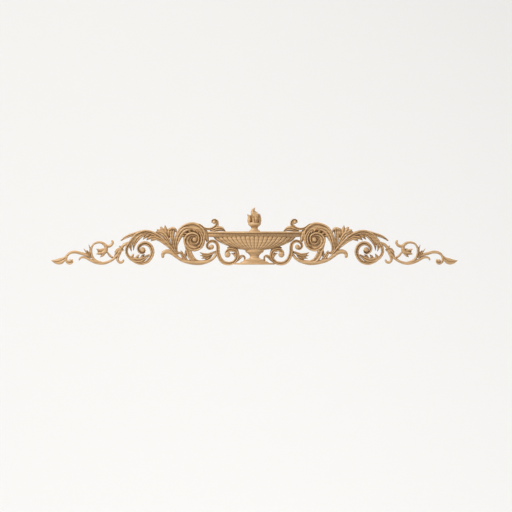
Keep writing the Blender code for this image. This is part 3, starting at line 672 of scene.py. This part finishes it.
def outer_scroll(carving, side):
    """The collar, the wave band and the third volute, with its leaves."""
    carving.stroke(side, [(-374, 66), (-383, 62), (-391, 54), (-397, 44), (-403, 34), (-411, 24), (-422, 15),
                          (-435, 9), (-450, 6), (-466, 8), (-483, 15), (-496, 22), (-506, 24), (-514, 22),
                          (-517, 17)],
                   (8, 9, 10, 9, 8, 8, 9, 9, 9, 8, 7, 5), (13, 13, 13, 12, 12, 12, 12, 12, 11, 10, 9, 8),
                   stem_section)
    carving.stroke(side, [(-397.5, 56.5), (-393.5, 52), (-389.5, 47.5)], (5, 7, 5), (14, 15, 14),
                   tip_section)
    carving.stroke(side, [(-391, 46), (-401, 42), (-414, 27)], (10, 14, 1.6), (13, 13, 8), leaf_section)
    carving.stroke(side, [(-391, 46), (-402, 48), (-413, 39)], (7, 8, 1.6), (12, 12, 8), tip_section)
    carving.stroke(side, [(-395, 38), (-402, 26), (-404, 16), (-398, 9), (-390, 10), (-387, 15)],
                   (5, 7, 8, 8, 8, 6), (11, 11, 11, 11, 11, 10), stem_section)
    carving.stroke(side, [(-447, 6), (-465, 11), (-476, 21), (-481, 36), (-481, 51), (-474, 63), (-461, 68),
                          (-448, 66), (-439, 57), (-439, 45), (-446, 37), (-457, 37)],
                   (8, 10, 8, 6, 6, 6, 7, 8, 11, 13, 8), (11, 12, 12, 12, 12, 12, 12, 12, 13, 13, 10),
                   stem_section)
    carving.stroke(side, [(-441, 41), (-450, 41), (-459, 40.5)], (14, 19, 9), (10, 10, 8), tip_section)
    for x, z, lean, curl, reach in ((-444, 44, 190, -45, 24), (-443, 39, 200, -15, 25),
                                    (-441, 37, 222, 0, 19)):
        lobe(carving, side, (x, z), lean, curl, reach, 9, LEAF_HEIGHT + 0.5)
    carving.stroke(side, [(-453, 68), (-441, 60), (-431, 56.5), (-423, 60), (-418.5, 67), (-420, 72)],
                   (5, 8, 9, 9, 8, 6), (11, 12, 12, 12, 12, 10), stem_section)
    carving.stroke(side, [(-416, 22), (-426, 28), (-435, 40)], (5, 7, 4), (10, 11, 11), tip_section)
    for tip_x, tip_z, bend, width in ((-489, 61, 4, 7), (-504, 49, 0, 6), (-495, 45, 2, 5)):
        carving.stroke(side, [(-487, 24), ((tip_x - 487) / 2 + bend, (tip_z + 28) / 2), (tip_x, tip_z)],
                       (6, width, TIP_WIDTH), (10, 11, 7), tip_section)


def end_spray(carving, side):
    """The end stem with its small volute, and the end leaf."""
    carving.stroke(side, [(-483, 24), (-497, 31), (-512, 35.5), (-530, 39.5), (-544, 37), (-553, 29),
                          (-556, 18), (-553, 9), (-545, 5), (-538, 9), (-538, 16)],
                   (5, 8, 9, 9, 9, 8, 7, 7, 6, 5), (9, 10, 10, 10, 10, 10, 10, 10, 10, 10), stem_section)
    carving.boss(side, (-544.5, 13.0), 5.5, 11.0)
    carving.stroke(side, [(-553, 30), (-562, 19), (-574, 12), (-587, 11.5), (-599.0, 14.3)],
                   (4, 12, 19, 14, TIP_WIDTH), (9, 9, 9, 8, 6), leaf_section)
    lobe(carving, side, (-566, 14), 130, 40, 13, 7, 8.5)


def bowl(carving):
    """The bowl: rim, reeded band, gadrooned body, neck, foot and plinth."""
    carving.half_round(RIM_PROFILE, RIM_SEGMENTS)
    reeded_band(carving)
    gadroons(carving)
    carving.half_round(eased(NECK_PROFILE), FOOT_SEGMENTS)
    carving.half_round(eased(FOOT_PROFILE), FOOT_SEGMENTS, FOOT_BOXINESS)
    carving.half_round(PLINTH_PROFILE, FOOT_SEGMENTS, PLINTH_BOXINESS)


def reeded_band(carving):
    """The band under the rim: a row of fine upright reeds between two narrow fillets."""
    back = carving.back()
    rings = []
    for z, inset, drop, relief in BEAD_PROFILE:
        half_width = BEAD_HALF_WIDTH - inset
        ring = [(half_width, z, -back), (-half_width, z, -back)]
        for number in range(REEDS * REED_FACETS + 1):
            across = 2 * number / (REEDS * REED_FACETS) - 1
            place = 2 * (number % REED_FACETS) / REED_FACETS - 1
            hollow = relief * REED_RELIEF * (1 - math.sqrt(1 - place * place))
            level = EDGE_DEPTH + (BEAD_DEPTH - EDGE_DEPTH) * math.sqrt(max(0.0, 1 - across * across))
            ring.append((half_width * across, z, level - drop - hollow))
        rings.append(ring)
    carving.loft(rings)


def gadroons(carving):
    """The body of the bowl: half-round lobes with round heads, which narrow towards its bottom.

    A head rises above the straight part of its lobe by up to half the lobe's width.
    """
    back = carving.back()
    top, bottom = BOWL_OUTLINE[0][0], BOWL_OUTLINE[-1][0]
    head_radius = BOWL_OUTLINE[0][1] / GADROONS
    levels = [(top + head_radius * rise, BOWL_OUTLINE[0][1] + rise, 0.0, 1.0, rise) for rise in HEAD_RISES]
    for z, half_width in smooth_path(BOWL_OUTLINE)[::BOWL_STRIDE]:
        drop = (top - z) / (top - bottom)
        setback = (BOWL_TOP_DEPTH - BOWL_BOTTOM_DEPTH) * drop ** SETBACK_CURVE
        levels.append((z, half_width, setback, 1 - GADROON_FADE * drop, 0.0))
    rings = []
    for z, half_width, setback, relief, rise in levels:
        ring = [(half_width, z, -back), (-half_width, z, -back)]
        for number in range(GADROONS * GADROON_FACETS + 1):
            across = 2 * number / (GADROONS * GADROON_FACETS) - 1
            place = 2 * (number % GADROON_FACETS) / GADROON_FACETS - 1
            swell = math.sqrt(max(0.0, 1 - place * place - rise * rise))
            forward = math.sqrt(max(0.0, 1 - across * across))
            level = EDGE_DEPTH + (BOWL_TOP_DEPTH - setback - EDGE_DEPTH) * forward
            ring.append((half_width * across, z, level - relief * GADROON_RELIEF * (1 - swell)))
        rings.append(ring)
    carving.loft(rings)


def flame(carving):
    """The cup on top of the rim and the flame in it."""
    carving.half_round(eased(CUP_PROFILE), CUP_SEGMENTS)
    carving.half_round(eased(CUP_RING_PROFILE), CUP_SEGMENTS)
    for line, widths, heights in FLAME_TONGUES:
        carving.stroke(1, line, widths, heights, tip_section)


def build_carving():
    """All the forms: the scrollwork on both sides, the bowl and the flame."""
    carving = Carving()
    for side in (1, -1):
        big_scroll(carving, side)
        small_scroll(carving, side)
        lower_stem(carving, side)
        rim_curl(carving, side)
        arch_scroll(carving, side)
        flower_buds(carving, side)
        outer_scroll(carving, side)
        end_spray(carving, side)
    bowl(carving)
    flame(carving)
    return carving


def new_object(name, mesh, collection):
    """An object of a mesh that is still being edited."""
    data = bpy.data.meshes.new(name)
    mesh.to_mesh(data)
    item = bpy.data.objects.new(name, data)
    collection.objects.link(item)
    return item


def back_cutter(collection):
    """A block behind the plane of the back, which cuts the carving off flat."""
    mesh = bmesh.new()
    bmesh.ops.create_cube(mesh, size=1.0)
    size = Vector(CUTTER_SIZE) * MM
    bmesh.ops.scale(mesh, vec=size, verts=mesh.verts[:])
    bmesh.ops.translate(mesh, vec=(0.0, size.y / 2, 0.0), verts=mesh.verts[:])
    return new_object("back_cutter", mesh, collection)


def carved_piece(name):
    """The whole carving as one closed mesh with a flat back, shaded smooth between its edges."""
    scene_objects = bpy.context.scene.collection
    guides = bpy.data.collections.new("carving_forms")
    scene_objects.children.link(guides)
    first, *others = build_carving().forms
    piece = new_object(name, first, scene_objects)
    for number, form in enumerate(others, 1):
        new_object(f"form_{number}", form, guides)
    cutter = back_cutter(scene_objects)
    union = piece.modifiers.new("join_forms", "BOOLEAN")
    union.operation = "UNION"
    union.solver = "MANIFOLD"
    union.operand_type = "COLLECTION"
    union.collection = guides
    cut = piece.modifiers.new("flat_back", "BOOLEAN")
    cut.operation = "DIFFERENCE"
    cut.solver = "MANIFOLD"
    cut.object = cutter
    evaluated = piece.evaluated_get(bpy.context.evaluated_depsgraph_get())
    result = bpy.data.meshes.new_from_object(evaluated)
    piece.modifiers.clear()
    piece.data = result
    result.name = name
    result.shade_smooth()
    result.set_sharp_from_angle(angle=SHARP_FROM)
    for item in (cutter, *guides.objects):
        bpy.data.objects.remove(item)
    bpy.data.collections.remove(guides)
    return piece


class Nodes:
    """Short ways to add and join the nodes of one material."""

    def __init__(self, name):
        self.material = bpy.data.materials.new(name)
        self.material.use_nodes = True
        self.tree = self.material.node_tree
        self.shader = self.tree.nodes["Principled BSDF"]

    def feed(self, socket, value):
        """Joins a socket to another node's output, or sets its plain value."""
        if isinstance(value, bpy.types.NodeSocket):
            self.tree.links.new(value, socket)
        else:
            socket.default_value = value

    def finish(self, inputs):
        """Feeds the shader's inputs and gives the material."""
        for name, value in inputs.items():
            self.feed(self.shader.inputs[name], value)
        return self.material

    def add(self, kind, inputs=None, **settings):
        """A new node with its settings made and its inputs fed."""
        node = self.tree.nodes.new(kind)
        for name, value in settings.items():
            setattr(node, name, value)
        for name, value in (inputs or {}).items():
            self.feed(node.inputs[name], value)
        return node

    def math(self, operation, *values):
        node = self.add("ShaderNodeMath", operation=operation)
        for index, value in enumerate(values):
            self.feed(node.inputs[index], value)
        return node.outputs["Value"]

    def total(self, *pairs):
        """The sum of several patterns, each given with its weight."""
        parts = [self.math("MULTIPLY", pattern, weight) for pattern, weight in pairs]
        whole = parts[0]
        for part in parts[1:]:
            whole = self.math("ADD", whole, part)
        return whole

    def ramp(self, factor, stops):
        """A colour ramp from (position, colour) stops."""
        node = self.add("ShaderNodeValToRGB", {"Fac": factor})
        elements = node.color_ramp.elements
        while len(elements) < len(stops):
            elements.new(stops[-1][0])
        for element, (position, colour) in zip(elements, stops):
            element.position = position
            element.color = (*colour, 1.0)
        return node.outputs["Color"]

    def grey(self, factor, low, high, at=(0.0, 1.0)):
        """The factor, mapped from the range at to the range low to high."""
        node = self.add("ShaderNodeMapRange", {"Value": factor, "From Min": at[0], "From Max": at[1],
                                               "To Min": low, "To Max": high})
        return node.outputs["Result"]

    def mix(self, factor, first, second, blend="MIX"):
        """The first colour with the second one laid over it by the factor."""
        node = self.add("ShaderNodeMix", data_type="RGBA", blend_type=blend)
        self.feed(node.inputs[MIX_FACTOR], factor)
        for index, colour in ((MIX_FIRST, first), (MIX_SECOND, second)):
            self.feed(node.inputs[index], (*colour, 1.0) if isinstance(colour, tuple) else colour)
        return node.outputs[MIX_RESULT]

    def stretched(self, place, scale, shift=(0.0, 0.0, 0.0)):
        """Places scaled by a number for each axis, then shifted."""
        node = self.add("ShaderNodeMapping", {"Vector": place, "Scale": scale, "Location": shift})
        return node.outputs["Vector"]

    def noise(self, vector, detail, roughness=0.5):
        """Soft noise from 0 to 1, about one wave for each unit of its vector."""
        node = self.add("ShaderNodeTexNoise", {"Vector": vector, "Scale": 1.0, "Detail": detail,
                                               "Roughness": roughness})
        return node.outputs["Fac"]

    def cells(self, vector, randomness=1.0):
        """The distance to the nearest of many scattered points."""
        node = self.add("ShaderNodeTexVoronoi", {"Vector": vector, "Scale": 1.0, "Randomness": randomness},
                        feature="F1")
        return node.outputs["Distance"]


def oak():
    """Oiled oak: grain along X, with growth bands, open pores, ray flecks, and painted shade that darkens
    its hollows.
    """
    nodes = Nodes("oiled_oak")
    place = nodes.add("ShaderNodeTexCoord").outputs["Object"]

    waver = nodes.noise(nodes.stretched(place, WAVER_SCALE), detail=3.0)
    across = nodes.add("ShaderNodeSeparateXYZ", {"Vector": place})
    level = nodes.math("ADD", across.outputs["Z"], nodes.math("MULTIPLY", across.outputs["Y"], BAND_SLANT))
    band = nodes.math("FRACT", nodes.total((level, GROWTH_BANDS), (waver, BAND_WAVER)))
    from_middle = nodes.math("ABSOLUTE", nodes.math("SUBTRACT", band, 0.5))
    late_wood = nodes.grey(from_middle, 0.0, 1.0, LATE_WOOD_RANGE)

    streaks = nodes.noise(nodes.stretched(place, STREAK_SCALE), detail=4.0, roughness=0.6)
    clouds = nodes.noise(nodes.stretched(place, CLOUD_SCALE, CLOUD_SHIFT), detail=2.0)
    tone = nodes.total((late_wood, BAND_TONE), (streaks, STREAK_TONE), (clouds, CLOUD_TONE))
    colour = nodes.ramp(tone, OAK_TONES)

    pore = nodes.grey(nodes.cells(nodes.stretched(place, PORE_SCALE)), 1.0, 0.0, PORE_RANGE)
    pores = nodes.math("MULTIPLY", pore, nodes.grey(late_wood, 1.0, PORES_IN_LATE_WOOD))
    colour = nodes.mix(nodes.math("MULTIPLY", pores, PORE_TINT), colour, OAK_PORE)

    ray = nodes.cells(nodes.stretched(place, RAY_SCALE, RAY_SHIFT), randomness=0.9)
    flecks = nodes.grey(ray, 1.0, 0.0, FLECK_RANGE)
    colour = nodes.mix(nodes.math("MULTIPLY", flecks, FLECK_TINT), colour, OAK_FLECK)

    # Painted shade: the colour is darkened in the hollows, by how much nearby surfaces shut them in; the
    # same mask also roughens them
    shade = nodes.add("ShaderNodeAmbientOcclusion", {"Distance": HOLLOW_SHADE_REACH}, samples=HOLLOW_SHADE_SAMPLES)
    hollow = nodes.grey(shade.outputs["AO"], 1.0, 0.0, HOLLOW_SHADE_RANGE)
    colour = nodes.mix(nodes.math("MULTIPLY", hollow, PAINTED_SHADE_TINT), colour, OAK_PAINTED_SHADE, "MULTIPLY")
    edge = nodes.add("ShaderNodeNewGeometry").outputs["Pointiness"]
    worn = nodes.grey(edge, 0.0, 1.0, WORN_RANGE)
    colour = nodes.mix(nodes.math("MULTIPLY", worn, WORN_TINT), colour, OAK_LIGHT)

    sheen = nodes.grey(streaks, ROUGHNESS_LOW, ROUGHNESS_HIGH)
    roughness = nodes.total((sheen, 1.0), (pores, PORE_ROUGHNESS), (hollow, HOLLOW_ROUGHNESS))

    fibres = nodes.noise(nodes.stretched(place, FIBRE_SCALE), detail=2.0)
    tool_marks = nodes.noise(nodes.stretched(place, TOOL_MARK_SCALE), detail=1.0)
    height = nodes.total((fibres, FIBRE_RELIEF), (streaks, STREAK_RELIEF), (tool_marks, TOOL_MARK_RELIEF),
                         (pores, PORE_RELIEF))
    bump = nodes.add("ShaderNodeBump", {"Height": height, "Strength": BUMP_STRENGTH,
                                        "Distance": BUMP_DISTANCE})
    return nodes.finish({"Base Color": colour, "Roughness": roughness, "Normal": bump.outputs["Normal"],
                         "Specular IOR Level": SPECULAR_LEVEL, "Coat Weight": COAT_WEIGHT,
                         "Coat Roughness": COAT_ROUGHNESS})


def pale_floor():
    """A plain pale surface with a faint mottle."""
    nodes = Nodes("pale_floor")
    place = nodes.add("ShaderNodeTexCoord").outputs["Object"]
    mottle = nodes.noise(nodes.stretched(place, FLOOR_MOTTLE_SCALE), detail=3.0)
    colour = nodes.mix(nodes.grey(mottle, 0.0, FLOOR_MOTTLE_SHARE), FLOOR_COLOUR, FLOOR_MOTTLE)
    return nodes.finish({"Base Color": colour, "Roughness": FLOOR_ROUGHNESS})


def studio_floor():
    """A pale floor below the carving that sweeps up into a pale wall, both well clear of it."""
    mesh = bmesh.new()
    profile = [(-FLOOR_REACH, 0.0)]
    for step in range(SWEEP_STEPS + 1):
        angle = 0.5 * math.pi * step / SWEEP_STEPS
        profile.append((WALL_Y - SWEEP_RADIUS * (1 - math.sin(angle)), SWEEP_RADIUS * (1 - math.cos(angle))))
    profile.append((WALL_Y, WALL_HEIGHT))
    left, right = [[mesh.verts.new((x, y, FLOOR_Z + z)) for y, z in profile]
                   for x in (-FLOOR_REACH, FLOOR_REACH)]
    for index in range(len(profile) - 1):
        mesh.faces.new((left[index], right[index], right[index + 1], left[index + 1]))
    item = new_object("studio_floor", mesh, bpy.context.scene.collection)
    item.data.shade_smooth()
    item.data.materials.append(pale_floor())


def area_light(name, place, power, size, colour):
    """A square light that points at the origin."""
    lamp = bpy.data.lights.new(name, "AREA")
    lamp.energy = power
    lamp.size = size
    lamp.color = colour
    item = bpy.data.objects.new(name, lamp)
    item.location = place
    item.rotation_euler = (-Vector(place)).to_track_quat("-Z", "Y").to_euler()
    bpy.context.scene.collection.objects.link(item)


def studio_light():
    """The three lights, a plain white sky, and colours shown as they are."""
    for light in LIGHTS:
        area_light(*light)
    world = bpy.data.worlds.new("studio")
    world.use_nodes = True
    background = world.node_tree.nodes["Background"]
    background.inputs["Color"].default_value = (*WHITE, 1.0)
    background.inputs["Strength"].default_value = SKY_STRENGTH
    bpy.context.scene.world = world
    bpy.context.scene.view_settings.view_transform = "Standard"


def front_camera():
    """The drawing's own view: square to the carving, with no perspective."""
    data = bpy.data.cameras.new("front_camera")
    data.type = "ORTHO"
    data.ortho_scale = PHOTO_WIDTH * MM_PER_PIXEL * MM
    camera = bpy.data.objects.new("front_camera", data)
    centre = PHOTO_WIDTH / 2
    camera.location = ((centre - PHOTO_MIDDLE_X) * MM_PER_PIXEL * MM, -CAMERA_DISTANCE,
                       ((PHOTO_BASE_Y - centre) * MM_PER_PIXEL - BASE_TO_ORIGIN) * MM)
    camera.rotation_euler = (math.radians(90), 0.0, 0.0)
    bpy.context.scene.collection.objects.link(camera)
    bpy.context.scene.camera = camera


front_camera()
studio_light()
studio_floor()

piece = carved_piece("oak_carving")
piece.data.materials.clear()
piece.data.materials.append(oak())
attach(piece, "root")
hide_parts("carved_pediment")
